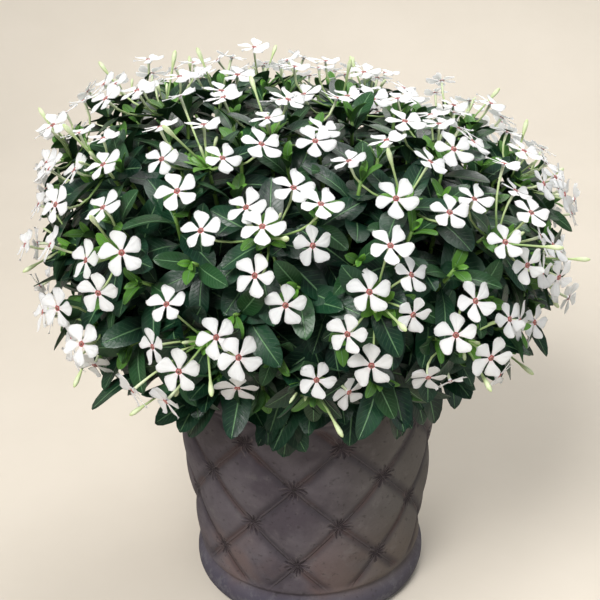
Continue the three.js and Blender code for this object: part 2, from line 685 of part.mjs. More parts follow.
// Adds a leaf to the skirt, with its root sunk into the core.
function addSkirtLeaf(index) {
  for (let attempt = 0; attempt < SKIRT.tries; attempt += 1) {
    const leaf = skirtTry(index, attempt);
    const stem = stemAt(leaf.root);
    if (isClear(looseLeaf(leaf, GAP, 0), [stems[stem]])
      && isClear(looseLeaf(leaf, 0, SKIRT.rootShare), [])) {
      stemSolids[stem] = stemSolids[stem].add(stand(stems[stem], looseLeaf(leaf, 0, 0)));
      return;
    }
  }
}

for (let index = 0; index < SKIRT.count; index += 1) addSkirtLeaf(index);

const plant = new THREE.Group();
standing.slice(0, 2).forEach(({ node, solid }) => plant.add(meshOf(node, node, solid)));
stems.forEach((name, stem) => {
  const solid = shoots.filter((shoot) => shoot.stem === stem)
    .reduce((sum, shoot) => sum.add(shoot.leafySolid), stemSolids[stem]);
  plant.add(meshOf(name, 'leafy_stem', solid));
});
shoots.forEach((shoot) => plant.add(meshOf(shoot.head, 'bloom_head', shoot.headSolid)));
export default plant;
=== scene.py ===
import math
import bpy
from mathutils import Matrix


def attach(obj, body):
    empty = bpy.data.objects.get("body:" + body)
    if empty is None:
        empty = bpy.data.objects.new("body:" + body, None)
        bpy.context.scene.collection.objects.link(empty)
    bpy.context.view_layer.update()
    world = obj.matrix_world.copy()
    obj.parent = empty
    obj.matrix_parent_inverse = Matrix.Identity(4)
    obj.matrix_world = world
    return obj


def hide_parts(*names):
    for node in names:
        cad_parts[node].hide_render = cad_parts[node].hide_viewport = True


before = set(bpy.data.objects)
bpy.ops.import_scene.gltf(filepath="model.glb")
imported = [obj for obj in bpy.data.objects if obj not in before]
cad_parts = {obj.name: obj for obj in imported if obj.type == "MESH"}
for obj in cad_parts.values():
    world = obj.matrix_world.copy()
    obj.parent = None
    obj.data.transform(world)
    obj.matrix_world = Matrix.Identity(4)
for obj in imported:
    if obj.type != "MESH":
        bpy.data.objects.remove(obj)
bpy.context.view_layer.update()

from types import SimpleNamespace as Sizes

import bpy
import numpy as np
from mathutils import Euler, Matrix, Vector

# The pot
# One cast piece of clay: a tapered wall quilted in diamonds, with a slim cord along each crease and
# a tuft of small pleats where they cross, a groove and a rolled foot below, and a plain rounded rim.

POT = Sizes(turn=math.radians(-56.7), wall_foot=28, wall_head=187, low_radius=92.4, high_radius=105.8)
QUILT = Sizes(diamonds=9, foot=55.5, rise=36.9, relief=4.4, sink=2.6, roundness=0.6, fade=6, pleats=13)
# Sizes are in millimetres, and in metres for the pot's floor. A diamond is four columns wide and
# four rows high, and its creases are a gap apart from the next ones beside them.
COLUMNS = 4 * QUILT.diamonds
COLUMN_WIDTH = math.pi * (POT.low_radius + POT.high_radius) / COLUMNS
ROW_HEIGHT = QUILT.rise / 2
CREASE_GAP = 4 / math.hypot(1 / COLUMN_WIDTH, 1 / ROW_HEIGHT)
ROUND, WALL_ROWS = 432, 150


def piece_of(name, points, quads, uv=None, values=None, rim=None):
    """A mesh object from points in millimetres and rows of four corners, smooth all over except
    along edges between points of the rim. uv gives a place for each corner of each quad, and
    values one number for each point, by name."""
    mesh = bpy.data.meshes.new(name)
    mesh.vertices.add(len(points))
    mesh.vertices.foreach_set("co", (np.asarray(points, np.float32) * 0.001).ravel())
    mesh.loops.add(quads.size)
    mesh.loops.foreach_set("vertex_index", quads.ravel().astype(np.int32))
    mesh.polygons.add(len(quads))
    mesh.polygons.foreach_set("loop_start", np.arange(0, quads.size, 4, dtype=np.int32))
    mesh.polygons.foreach_set("use_smooth", np.ones(len(quads), bool))
    if uv is not None:
        layer = mesh.uv_layers.new(name="place")
        layer.data.foreach_set("uv", np.asarray(uv, np.float32).ravel())
    for key, value in (values or {}).items():
        attribute = mesh.attributes.new(key, "FLOAT", "POINT")
        attribute.data.foreach_set("value", np.asarray(value, np.float32).ravel())
    mesh.update(calc_edges=True)
    if rim is not None:
        ends = np.empty(2 * len(mesh.edges), np.int32)
        mesh.edges.foreach_get("vertices", ends)
        sharp = mesh.attributes.new("sharp_edge", "BOOLEAN", "EDGE")
        sharp.data.foreach_set("value", rim[ends.reshape(-1, 2)].all(1))
    piece = bpy.data.objects.new(name, mesh)
    bpy.context.scene.collection.objects.link(piece)
    return piece


def grid_quads(rows, columns, wrap_rows=False, wrap_columns=True):
    """The four corners of each cell of a grid of points that is numbered row by row."""
    row = np.arange(rows if wrap_rows else rows - 1)[:, None]
    column = np.arange(columns if wrap_columns else columns - 1)[None, :]
    next_row, next_column = (row + 1) % rows, (column + 1) % columns
    corners = [row * columns + column, row * columns + next_column,
               next_row * columns + next_column, next_row * columns + column]
    return np.stack(corners, -1).reshape(-1, 4)


def round_at(radius, angle, height):
    """Points at a radius and an angle round the middle, and a height: the radius times the angle's
    cosine and sine, and the height."""
    radius, angle, height = np.broadcast_arrays(radius, angle, height)
    return np.stack([radius * np.cos(angle), radius * np.sin(angle), height], -1).astype(float)


def rounded(middle, half_sizes, first, last, steps, power=0.8):
    """Points of a rounded stretch of an outline, from one angle in degrees to another: the cosine
    and the sine, each to a power that makes the round fuller, times the half sizes."""
    angle = np.radians(np.linspace(first, last, steps))
    around = np.stack([np.cos(angle), np.sin(angle)], -1)
    return np.add(middle, np.multiply(half_sizes, np.sign(around) * np.abs(around) ** power))


def pillow_height(column, row):
    """How far the quilted wall stands out: the product of two sine waves, which are zero along the
    two runs of creases, to a power that rounds it, times the relief, less the sink."""
    rising = np.sin(np.pi * (column - row) / 4)
    falling = np.sin(np.pi * (column + row) / 4)
    return QUILT.relief * np.abs(rising * falling) ** QUILT.roundness - QUILT.sink


# The outline runs from the underside up the foot, the wall and the rim, and down inside, as radii
# and heights. It is carried round, and the wall stands out by the quilting's height.
foot = np.vstack([[[58, 0], [72, 0]], rounded((84, 12), (11.6, 12), -90, 52, 12),
                  [[90.2, 24.2], [90.3, 25.6], [91.2, 27.2]]])
heights = np.linspace(28.6, 185.4, WALL_ROWS)
wall = np.column_stack([np.interp(heights, (POT.wall_foot, POT.wall_head),
                                  (POT.low_radius, POT.high_radius)), heights])
rim_and_inside = np.vstack([
    [[104.9, 186.6], [106.2, 188]], rounded((103.5, 194), (5.5, 6), -50, 90, 9),
    rounded((100, 197), (3, 3), 90, 180, 4), rounded((77.3, 16), (4, 4), 0, -90, 4), [[58, 12]]])
profile = np.vstack([foot, wall, rim_and_inside])
rows_up = (profile[:, 1] - QUILT.foot) / ROW_HEIGHT
on_wall = np.zeros(len(profile))
on_wall[len(foot):len(foot) + WALL_ROWS] = np.clip(
    np.minimum(heights - POT.wall_foot, POT.wall_head - 1 - heights) / QUILT.fade, 0, 1)
turns = np.arange(ROUND) / ROUND
relief = on_wall[:, None] * pillow_height(COLUMNS * turns, rows_up[:, None])
pot_points = round_at(profile[:, :1] + relief, POT.turn + 2 * np.pi * turns, profile[:, 1:])
pot_quads = grid_quads(len(profile), ROUND, wrap_rows=True)
corner_column = (pot_quads[:, :1] % ROUND + [0, 1, 1, 0]) * COLUMNS / ROUND
corner_row = rows_up[pot_quads // ROUND]
pot_uv = np.stack([corner_column - corner_row, corner_column + corner_row], -1) / 4
pot = piece_of("pot_quilted", pot_points.reshape(-1, 3), pot_quads, pot_uv,
               {"quilted": np.repeat(on_wall, ROUND)})

# The floor is a plate inside the foot, with three drain holes bored through it, in metres.
PLATE = Sizes(radius=0.0584, thickness=0.0119, middle=0.006)
DRAIN = Sizes(count=3, radius=0.005, length=0.03, circle=0.048)
bpy.ops.mesh.primitive_cylinder_add(vertices=96, radius=PLATE.radius, depth=PLATE.thickness)
plate = bpy.context.object
plate.name = "pot_floor"
plate.data.transform(Matrix.Translation((0, 0, PLATE.middle)))
for drain in range(DRAIN.count):
    way = POT.turn + 2 * math.pi * drain / DRAIN.count
    bpy.ops.mesh.primitive_cylinder_add(
        vertices=32, radius=DRAIN.radius, depth=DRAIN.length,
        location=(DRAIN.circle * math.cos(way), DRAIN.circle * math.sin(way), PLATE.middle))
    bore = bpy.context.object
    cut = plate.modifiers.new("drain", "BOOLEAN")
    cut.operation, cut.object, cut.solver = "DIFFERENCE", bore, "EXACT"
    with bpy.context.temp_override(object=plate, active_object=plate):
        bpy.ops.object.modifier_apply(modifier="drain")
    bpy.data.objects.remove(bore)


class Varying:
    """A number, colour or place that varies over a finish: an output of a node in its tree. A sign
    of arithmetic between it and a number, or another like it, adds the Math node for the result."""

    def __init__(self, socket):
        self.socket = socket

    def math(self, operation, *others):
        node = add(self.socket.id_data, "ShaderNodeMath", dict(enumerate((self, *others))),
                   operation=operation)
        return Varying(node.outputs[0])

    def __add__(self, other):
        return self.math("ADD", other)

    def __sub__(self, other):
        return self.math("SUBTRACT", other)

    def __mul__(self, other):
        return self.math("MULTIPLY", other)

    def __abs__(self):
        return self.math("ABSOLUTE")


def add(tree, kind, inputs, **settings):
    """A shader node with its settings, whose inputs are plain values or varying ones."""
    node = tree.nodes.new(kind)
    for key, value in settings.items():
        setattr(node, key, value)
    for key, value in inputs.items():
        if isinstance(value, Varying):
            tree.links.new(value.socket, node.inputs[key])
        else:
            node.inputs[key].default_value = value
    return node


def ranged(value, start, end, low=0.0, high=1.0):
    """A varying value taken from one span to another along a smooth S, and held past its ends."""
    inputs = {"Value": value, "From Min": start, "From Max": end, "To Min": low, "To Max": high}
    node = add(value.socket.id_data, "ShaderNodeMapRange", inputs, interpolation_type="SMOOTHSTEP")
    return Varying(node.outputs["Result"])


def mixed(share, first, second, blend_type="MIX"):
    """Two colours mixed by a varying share. A plain colour is three numbers."""
    first, second = ((*colour, 1) if isinstance(colour, tuple) else colour for colour in (first, second))
    node = add(share.socket.id_data, "ShaderNodeMix", {0: share, 6: first, 7: second},
               data_type="RGBA", blend_type=blend_type)
    return Varying(node.outputs[2])


def noise(place, scale, detail=3.0, roughness=0.55):
    """Noise on a varying place, from 0 to 1."""
    inputs = {"Vector": place, "Scale": scale, "Detail": detail, "Roughness": roughness}
    return Varying(add(place.socket.id_data, "ShaderNodeTexNoise", inputs).outputs["Fac"])


def axes_of(vector):
    """The three parts of a varying place."""
    node = add(vector.socket.id_data, "ShaderNodeSeparateXYZ", {0: vector})
    return [Varying(output) for output in node.outputs]


def map_of(material):
    """The two parts of the piece's own UV map."""
    node = add(material.node_tree, "ShaderNodeUVMap", {}, uv_map="place")
    return axes_of(Varying(node.outputs["UV"]))[:2]


def attribute_of(material, name):
    """A number that the piece's own points carry."""
    node = add(material.node_tree, "ShaderNodeAttribute", {}, attribute_name=name)
    return Varying(node.outputs["Fac"])


def material_of(name, **plain):
    """A material, whose Principled shader has these plain sockets, and its Object coordinates."""
    material = bpy.data.materials.new(name)
    material.use_nodes = True
    shader = material.node_tree.nodes["Principled BSDF"]
    for key, value in plain.items():
        shader.inputs[key.replace("_", " ")].default_value = value
    return material, Varying(add(material.node_tree, "ShaderNodeTexCoord", {}).outputs["Object"])


def finished(material, colour, height=None, strength=1.0, unit_height=0.001, gloss=None):
    """Gives a material its colour, and its bump, roughness or both where they vary. The height is
    in millimetres, or in other units of so many metres."""
    tree = material.node_tree
    shader = tree.nodes["Principled BSDF"]
    tree.links.new(colour.socket, shader.inputs["Base Color"])
    if height is not None:
        bump = add(tree, "ShaderNodeBump", {
            "Strength": strength, "Distance": unit_height, "Height": height})
        tree.links.new(bump.outputs["Normal"], shader.inputs["Normal"])
    if gloss is not None:
        tree.links.new(gloss.socket, shader.inputs["Roughness"])


def weathered_group():
    """Coarse mottling, fine grain and small pits on a place at a scale, for clay, soil and floor:
    mottling is wide noise, grain is fine noise, and pits are where a middling noise is high."""
    group = bpy.data.node_groups.new("weathered_grain", "ShaderNodeTree")
    group.interface.new_socket("Place", in_out="INPUT", socket_type="NodeSocketVector")
    group.interface.new_socket("Scale", in_out="INPUT", socket_type="NodeSocketFloat")
    for key in ("Mottling", "Grain", "Pits"):
        group.interface.new_socket(key, in_out="OUTPUT", socket_type="NodeSocketFloat")
    given = add(group, "NodeGroupInput", {}).outputs
    inputs = {0: Varying(given["Place"]), "Scale": Varying(given["Scale"])}
    place = Varying(add(group, "ShaderNodeVectorMath", inputs, operation="SCALE").outputs["Vector"])
    add(group, "NodeGroupOutput", {
        "Mottling": noise(place, 22, 5, 0.62), "Grain": noise(place, 900, 4, 0.7),
        "Pits": ranged(noise(place, 260, 2, 0.5), 0.60, 0.74)})
    return group


WEATHERED = weathered_group()


def weathered(place, scale):
    """The group's mottling, grain and pits in a material, at its own scale."""
    node = add(place.socket.id_data, "ShaderNodeGroup", {"Place": place, "Scale": scale}, node_tree=WEATHERED)
    return [Varying(output) for output in node.outputs]


pot_clay, place = material_of("weathered_clay_and_painted_shade", Roughness=0.93, Specular_IOR_Level=0.28)
mottling, grain, pits = weathered(place, 1.0)
to_the_right, _, up_the_wall = axes_of(place)
quilted = attribute_of(pot_clay, "quilted")
# How far the nearest crossing is along each run of creases, in whole diamonds, then in millimetres.
offs = [(run + 0.5).math("FRACT") - 0.5 for run in map_of(pot_clay)]
aside = (offs[0] + offs[1]) * (2 * COLUMN_WIDTH)
above = (offs[1] - offs[0]) * (2 * ROW_HEIGHT)
apart = (aside * aside + above * above).math("SQRT")
about = above.math("ARCTAN2", aside) + noise(place, 45, 1, 0.5) * 2.5
# The distance from the nearer crease, with its cord and the painted shade in the hollow on both sides of it.
crease = abs(offs[0]).math("MINIMUM", abs(offs[1])) * CREASE_GAP
cord = ranged(crease, 1.3, 0.2) * quilted
# Painted shade darkens the hollow on both sides of each crease.
painted_crease_shade = ranged(crease, 7.5, 1.4) * quilted
# Each pleat is a stroke of one width, which starts off the crossing and has a length of its own.
beside = abs((about * (QUILT.pleats / (2 * math.pi))).math("FRACT") - 0.5)
off_pleat = beside * apart * (2 * math.pi / QUILT.pleats)
past_pleat = apart - (noise(place, 330, 1, 0.5) * 11 + 4)
ring = ranged(apart, 0.8, 2.2) * ranged(past_pleat, 1.5, -2.0) * quilted
tuft = ranged(off_pleat, 0.95, 0.25) * ring * ranged(noise(place, 190, 1, 0.5), 0.40, 0.56, 0.25, 1.0)
fold = ranged(beside, 0.36, 0.48) * ring
# Painted shade darkens the hollow round each crossing.
painted_crossing_shade = ranged(apart, 10.0, 1.5) * quilted
button = ranged(apart, 1.8, 0.6) * quilted
rust = ranged(noise(place, 13, 3, 0.6), 0.44, 0.62) * ranged(up_the_wall, 0.115, 0.035)
rust_line = ranged(noise(place, 24, 2, 0.5), 0.46, 0.62) * ranged(crease, 4.5, 1.2) * quilted
olive = ranged(to_the_right, -0.01, 0.075)
low = ranged(up_the_wall, 0.030, 0.016)
dust = ranged(noise(place, 70, 5, 0.7), 0.54, 0.72)
worn = ranged(noise(place, 130, 4, 0.7), 0.5, 0.64) * low
colour = mixed(ranged(mottling, 0.36, 0.62), (0.064, 0.053, 0.064), (0.106, 0.093, 0.104))
# In this list the dark tints in the hollows beside the creases and round the crossings are painted shade.
for mask, share, tint in (
        (rust, 0.6, (0.140, 0.090, 0.078)), (olive, 0.55, (0.118, 0.110, 0.088)),
        (low, 0.8, (0.056, 0.052, 0.075)), (dust, 0.3, (0.17, 0.16, 0.155)),
        (worn, 0.25, (0.20, 0.195, 0.20)), (painted_crease_shade, 0.62, (0.032, 0.027, 0.034)),
        (rust_line, 0.28, (0.115, 0.058, 0.043)), (painted_crossing_shade, 0.55, (0.036, 0.026, 0.034)),
        (cord, 0.3, (0.115, 0.098, 0.100)), (fold, 0.5, (0.160, 0.130, 0.130)),
        (tuft, 0.72, (0.024, 0.016, 0.021)), (button, 0.6, (0.018, 0.013, 0.015)),
        (pits, 0.4, (0.025, 0.021, 0.020))):
    colour = mixed(mask * share, colour, tint)
colour = mixed(grain * 0.35, colour, (0.18, 0.165, 0.16), "SOFT_LIGHT")
# The cord and the folds stand out, and the pleats, the button and the pits are let in.
let_in = tuft * 1.1 + button * 1.6 + pits * 0.22
finished(pot_clay, colour, cord * 0.8 + fold * 0.5 + grain * 0.16 + mottling * 0.5 - let_in)
for piece in (pot, plate):
    piece.data.materials.clear()
    piece.data.materials.append(pot_clay)
    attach(piece, "root")
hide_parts("pot")

# The soil
# Dark, damp potting soil that fills the pot to a little below its rim. It keeps its solid, and its
# crumbs are in the finish.

soil_finish, place = material_of("damp_soil", Roughness=0.97)
crumbs, grain, bits = weathered(place, 2.2)
colour = mixed(ranged(crumbs, 0.35, 0.65), (0.012, 0.008, 0.006), (0.055, 0.036, 0.024))
finished(soil_finish, mixed(bits, colour, (0.10, 0.075, 0.05)), crumbs * 3 + grain * 0.8)
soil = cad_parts["soil"]
soil.data.materials.clear()
soil.data.materials.append(soil_finish)

# The shoots
# The bush is a wide dome, lower on one side, that grows on five dense stems. Its shoots stand out of
# them, evenly over the dome, and each ends in a hub that its blooms' tubes meet in.

GOLDEN = math.pi * (3 - math.sqrt(5))
UP = np.array([0.0, 0.0, 1.0])
DOME = Sizes(middle=287, reach=197, rise=119, drop=98, last=131, last_bloom=113, steps=400,
             lobes=5, swell=0.025, lean=0.2)
STEM = Sizes(count=5, turn=0.4, radius=3.2)
SHOOT = Sizes(count=42, hub_depth=24, upward=0.1, heart=1.9866, tip=0.3, bend=20, length=60, sag=9,
              clearance=7)
DRAWN_FROM = {"bloom": 1000000, "bud": 2000000, "leaf": 3000000, "skirt": 4000000, "more": 5000000}


def drawn(kind, pieces, tries):
    """Ten even draws for each try at each piece, from whole numbers that are squared three times
    modulo a prime, in the same way as the solids are placed."""
    prime = 67108859
    state = (DRAWN_FROM[kind] + 1000 * np.asarray(pieces, np.int64)[:, None, None]
             + 10 * np.arange(tries)[None, :, None] + np.arange(10))
    state = (state * 69621 + 1013) % prime
    for _ in range(3):
        state = (state * state + 1013) % prime
    return state / prime


def more_drawn(first, *shape):
    """Ten even draws for each place of a grid of pieces that have no solid of their own."""
    return drawn("more", first + np.arange(math.prod(shape)), 1).reshape(*shape, 10)


def unit(vectors):
    """Vectors at length one."""
    return vectors / np.linalg.norm(vectors, axis=-1, keepdims=True)


def square_to(way, side):
    """A side less what of it runs along a unit way, at length one."""
    return unit(side - (side * way).sum(-1, keepdims=True) * way)


def turned(vectors, axis, angle):
    """Vectors turned round unit axes: their cosine share, the sine share of the axis crossed with
    them, and what runs along the axis."""
    cosine, sine = np.cos(angle)[..., None], np.sin(angle)[..., None]
    along = (vectors * axis).sum(-1, keepdims=True)
    return vectors * cosine + np.cross(axis, vectors) * sine + axis * along * (1 - cosine)


def bent(start, bend, end, share):
    """The point at a share along a curve that is bent once: the start, twice the bend and the end,
    weighed by the products of what is left and the share."""
    left = 1 - share
    return left ** 2 * start + 2 * share * left * bend + share ** 2 * end


def dome_outline(angle, reach, middle, rise, drop):
    """The radius and height of a rounded outline at angles from its top: a sine times the reach,
    and a cosine times the rise or the drop, each to a power that makes the round fuller."""
    below = angle > np.pi / 2
    power = np.where(below, 2 / 2.2, 2 / 2.8)
    height = middle + np.where(below, -drop, rise) * np.abs(np.cos(angle)) ** power
    return reach * np.sin(angle) ** power, height


dome_radius, dome_height = dome_outline(
    np.radians(DOME.last * np.arange(DOME.steps + 1) / DOME.steps),
    DOME.reach, DOME.middle, DOME.rise, DOME.drop)
dome_area = np.concatenate([[0], np.cumsum(
    np.pi * (dome_radius[1:] + dome_radius[:-1])
    * np.hypot(np.diff(dome_radius), np.diff(dome_height)))])


def leaning(height, x):
    """A height, lowered or raised in step with x where it is above the dome's widest level."""
    return height - np.maximum(0, height - DOME.middle) * DOME.lean * x / DOME.reach


def dome_place(area, angle):
    """The point of the dome that has this much of its surface above it, and the way out there. The
    radius swells by a sine wave, in a few lobes."""
    after = np.maximum(1, np.searchsorted(dome_area, area))
    share = (area - dome_area[after - 1]) / (dome_area[after] - dome_area[after - 1])
    radius = dome_radius[after - 1] + share * (dome_radius[after] - dome_radius[after - 1])
    radius = radius * (1 + DOME.swell * np.sin(DOME.lobes * angle))
    height = dome_height[after - 1] + share * (dome_height[after] - dome_height[after - 1])
    out = unit(round_at(dome_height[after - 1] - dome_height[after], angle,
                        dome_radius[after] - dome_radius[after - 1]))
    return round_at(radius, angle, leaning(height, radius * np.cos(angle))), out


# Each shoot keeps clear of the sides of its stem's wedge, down to its root.
sector = 2 * math.pi / STEM.count
shoots = np.arange(SHOOT.count)
shoot_area = (shoots + 0.5) / SHOOT.count * dome_area[-1]
even_place = dome_place(shoot_area, 0 * shoots)[0]
root_radius = np.maximum(SHOOT.clearance, np.hypot(even_place[:, 0], even_place[:, 1]) - SHOOT.length)
most = np.maximum(0, sector / 2 - SHOOT.clearance / root_radius)
even_angle = shoots * GOLDEN
wedge_angle = sector * (np.round(even_angle / sector - STEM.turn) + STEM.turn)
shoot_angle = wedge_angle + np.clip(even_angle - wedge_angle, -most, most)
shoot_point, shoot_out = dome_place(shoot_area, shoot_angle)
shoot_axis = unit(shoot_out + SHOOT.upward * UP)
shoot_side = round_at(1, shoot_angle + np.pi / 2, 0)
shoot_slope = np.cross(shoot_axis, shoot_side)
hub = shoot_point - SHOOT.hub_depth * shoot_out
heart = hub + SHOOT.heart * shoot_axis
shoot_tip = hub - SHOOT.tip * shoot_axis
shoot_bend = shoot_tip - SHOOT.bend * shoot_axis
shoot_root = shoot_tip - SHOOT.length * shoot_axis - SHOOT.sag * UP


def along_shoot(shoot, distance):
    """A shoot's point and direction at a distance below its tip, which is taken as a share of its
    two straight spans."""
    root, bend, tip = shoot_root[shoot], shoot_bend[shoot], shoot_tip[shoot]
    length = np.linalg.norm(bend - root, axis=-1) + np.linalg.norm(tip - bend, axis=-1)
    share = (1 - distance / length)[..., None]
    return bent(root, bend, tip, share), unit((1 - share) * (bend - root) + share * (tip - bend))


def stem_at(points):
    """Which of the stems' wedges points are in, from 0."""
    wedges = np.arctan2(points[..., 1], points[..., 0]) / sector - STEM.turn + 0.5
    return (np.floor(wedges) % STEM.count).astype(int)


def corners_of(names):
    """The corners of some nodes' solids, in millimetres."""
    corners = []
    for name in names:
        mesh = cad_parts[name].data
        points = np.empty(3 * len(mesh.vertices), np.float32)
        mesh.vertices.foreach_get("co", points)
        corners.append(points.reshape(-1, 3).astype(float) * 1000)
    return np.unique(np.concatenate(corners), axis=0)


def standing(marks, corners, values):
    """The pieces of which the solids show a try, by a corner at its mark, and that try's values."""
    near = np.array([np.abs(corners - mark).max(-1).min() for mark in marks.reshape(-1, 3)])
    near = near.reshape(marks.shape[:2])
    pieces = np.flatnonzero(near.min(1) < 0.05)
    chosen = near[pieces].argmin(1)
    return pieces, [value[pieces, chosen] for value in values]


# The blooms
# Each is five white petals round a coral eye, on a slim tube that pales from green to white. The
# petals are narrow at the eye, broad and a little skewed at the end, and part from each other.

BLOOM = Sizes(count=245, tries=30, turn=2.45, gather=0.15, shift=13, depth=16, upward=0.3, fan=0.5,
              tilt=0.8, crown=1.5, radius=15, spare=0.2, petals=5, petal_root=0.9, tube_end=3.2)

# The blooms stand evenly over the dome, drawn a little to their hub, and are shifted along it and
# through it. They face outwards, a little up and away from the hub, and are tilted both ways.
blooms = np.arange(BLOOM.count)
bloom_turn = blooms * GOLDEN + BLOOM.turn
bloom_area = dome_area[round(DOME.steps * DOME.last_bloom / DOME.last)]
bloom_point, bloom_out = dome_place((blooms + 0.5) / BLOOM.count * bloom_area, bloom_turn)
bloom_shoot = np.linalg.norm(hub - bloom_point[:, None], axis=-1).argmin(1)
inward = hub[bloom_shoot] - bloom_point
inward = inward - (inward * bloom_out).sum(-1, keepdims=True) * bloom_out
side = round_at(1, bloom_turn + np.pi / 2, 0)
slope = np.cross(bloom_out, side)
out, side, slope = (values[:, None] for values in (bloom_out, side, slope))
draws = drawn("bloom", blooms, BLOOM.tries)
swings = np.moveaxis(draws - 0.5, -1, 0)[..., None]
middles = ((bloom_point + BLOOM.gather * inward)[:, None] + BLOOM.depth * swings[2] * out
           + BLOOM.shift * (swings[0] * side + swings[1] * slope))
from_heart = unit(middles - heart[bloom_shoot][:, None])
facings = unit(out + BLOOM.upward * UP + BLOOM.fan * from_heart
               + BLOOM.tilt * (swings[3] * side + swings[4] * slope))
starts = turned(unit(np.cross(side, facings)), facings, 2 * np.pi * draws[..., 5])
head_names = [f"bloom_head_{number:02d}" for number in range(1, SHOOT.count + 1)]
head_corners = corners_of(head_names)
kept, (bloom_middle, bloom_facing, bloom_start, bloom_draws) = standing(
    middles + BLOOM.crown * facings, head_corners, (middles, facings, starts, draws))
bloom_shoot = bloom_shoot[kept]
bloom_radius = BLOOM.radius * (1 - BLOOM.spare * bloom_draws[:, 6])

# A ring has eight points. A blade's is flat: it runs from one rim over the top to the other and back.
RING = 8
RING_TURN = 2 * np.pi * np.arange(RING) / RING
ACROSS = np.array([-1, -0.6, 0, 0.6, 1, 0.6, 0, -0.6])
TOP = np.array([0, 1, 1, 1, 0, -1, -1, -1])


def ring_quads(rows):
    """The quads of a closed shape of rings, with three more across each end."""
    first = np.array([[3, 2, 1, 0], [4, 3, 0, 7], [5, 4, 7, 6]])
    last = first[:, ::-1] + (rows - 1) * RING
    return np.vstack([grid_quads(rows, RING), first, last])


def blades(root, way, face, length, share, half, thick, bend, skew=0):
    """Closed, thin blades, as points of each and the quads of one. A point is the root, a share of
    the length along the way, the half width times its place across, with the skew, and the bend
    with the thickness times its place up the face. The width runs along face x way."""
    root, way, face = (values[:, None, None] for values in (root, way, face))
    points = (root + way * (share * length[:, None])[..., None, None]
              + np.cross(face, way) * (half[..., None] * ACROSS + skew)[..., None]
              + face * (bend + thick[:, None] * TOP)[..., None])
    return points.reshape(len(points), -1, 3), ring_quads(len(share))[:, ::-1]


def tubes(path, radius, level):
    """Closed tubes along paths, as points of each and the quads of one. A point is the path's, and
    the radius times a cosine along a direction square to the path and a sine along the other.
    level is a direction across each tube's start."""
    direction = unit(np.gradient(path, axis=1))
    first = square_to(direction, level[:, None])[:, :, None]
    second = np.cross(direction[:, :, None], first)
    spokes = np.cos(RING_TURN)[:, None] * first + np.sin(RING_TURN)[:, None] * second
    points = path[:, :, None] + np.broadcast_to(radius, path.shape[:2])[..., None, None] * spokes
    return points.reshape(len(path), -1, 3), ring_quads(path.shape[1])


def part_of(shapes, cells, place, along, finish):
    """Shapes of one kind as one part of a piece: its points, quads, UV places, along values and
    finish numbers. place, along and finish are for the points and quads of one shape."""
    count, each = shapes.shape[:2]
    quads = (cells + np.arange(count)[:, None, None] * each).reshape(-1, 4)
    return (shapes.reshape(-1, 3), quads, np.tile(place, (count, 1)),
            np.broadcast_to(along, (count, each)).ravel(),
            np.broadcast_to(finish, (count, len(cells))).ravel())


def joined_piece(name, parts, finishes):
    """One piece from parts. The first part is made of blades, which are sharp along their rims."""
    points, quads, place, along, finish = zip(*parts)
    firsts = np.cumsum([0] + [len(part_points) for part_points in points])
    uv = np.concatenate([part_place[part_quads] for part_place, part_quads in zip(place, quads)])
    quads = np.concatenate([part_quads + first for part_quads, first in zip(quads, firsts)])
    rim = np.zeros(firsts[-1], bool)
    rim[:firsts[1]] = np.tile(TOP == 0, firsts[1] // RING)
    piece = piece_of(name, np.concatenate(points), quads, uv, {"along": np.concatenate(along)}, rim)
    for material in finishes:
        piece.data.materials.append(material)
    piece.data.polygons.foreach_set("material_index", np.concatenate(finish).astype(np.int32))
    return piece


# A petal's half width and half thickness at shares of its length. It is lifted towards its end,
# curled across, twisted a little, and skewed to one side at its end, as in a pinwheel.
PETAL_SHARE = np.array([0.0, 0.13, 0.30, 0.48, 0.65, 0.80, 0.92, 1.0])
PETAL_HALF = 0.35 * np.array([0.18, 0.26, 0.48, 0.77, 1.0, 0.95, 0.62, 0.10])
PETAL_THICK = np.array([0.3, 0.26, 0.22, 0.2, 0.18, 0.16, 0.14, 0.1])
petal_facing, petal_start, petal_middle, petal_radius = (
    np.repeat(values, BLOOM.petals, 0)
    for values in (bloom_facing, bloom_start, bloom_middle, bloom_radius))
petal_turn = np.tile(2 * np.pi * np.arange(BLOOM.petals) / BLOOM.petals, len(kept))
petal_way = turned(petal_start, petal_facing, petal_turn)
petal_draws = more_drawn(0, len(petal_way))
petal_reach = petal_radius * (0.87 + 0.09 * petal_draws[:, 0])
lift, curl, twist = petal_draws[:, 2:5].T[..., None, None]
share = PETAL_SHARE[:, None]
petal_bend = ((1.6 * lift - 0.06) * share ** 2 + 0.55 * (curl - 0.35) * share * ACROSS ** 2
              + 0.9 * (twist + 0.5) * share * ACROSS)
petals, petal_cells = blades(
    petal_middle + BLOOM.petal_root * petal_way + 0.7 * petal_facing, petal_way, petal_facing,
    petal_reach - BLOOM.petal_root, PETAL_SHARE,
    petal_reach[:, None] * PETAL_HALF * (0.95 + 0.12 * petal_draws[:, 1:2]), PETAL_THICK, petal_bend,
    0.19 * petal_reach[:, None, None] * share ** 4)
# A place across the petal, and a distance from the bloom's middle as a share of 20 mm.
petal_place = np.stack([np.tile(0.5 + 0.5 * ACROSS, len(PETAL_SHARE)),
                        np.repeat(BLOOM.petal_root + 12 * PETAL_SHARE, RING) / 20], -1)

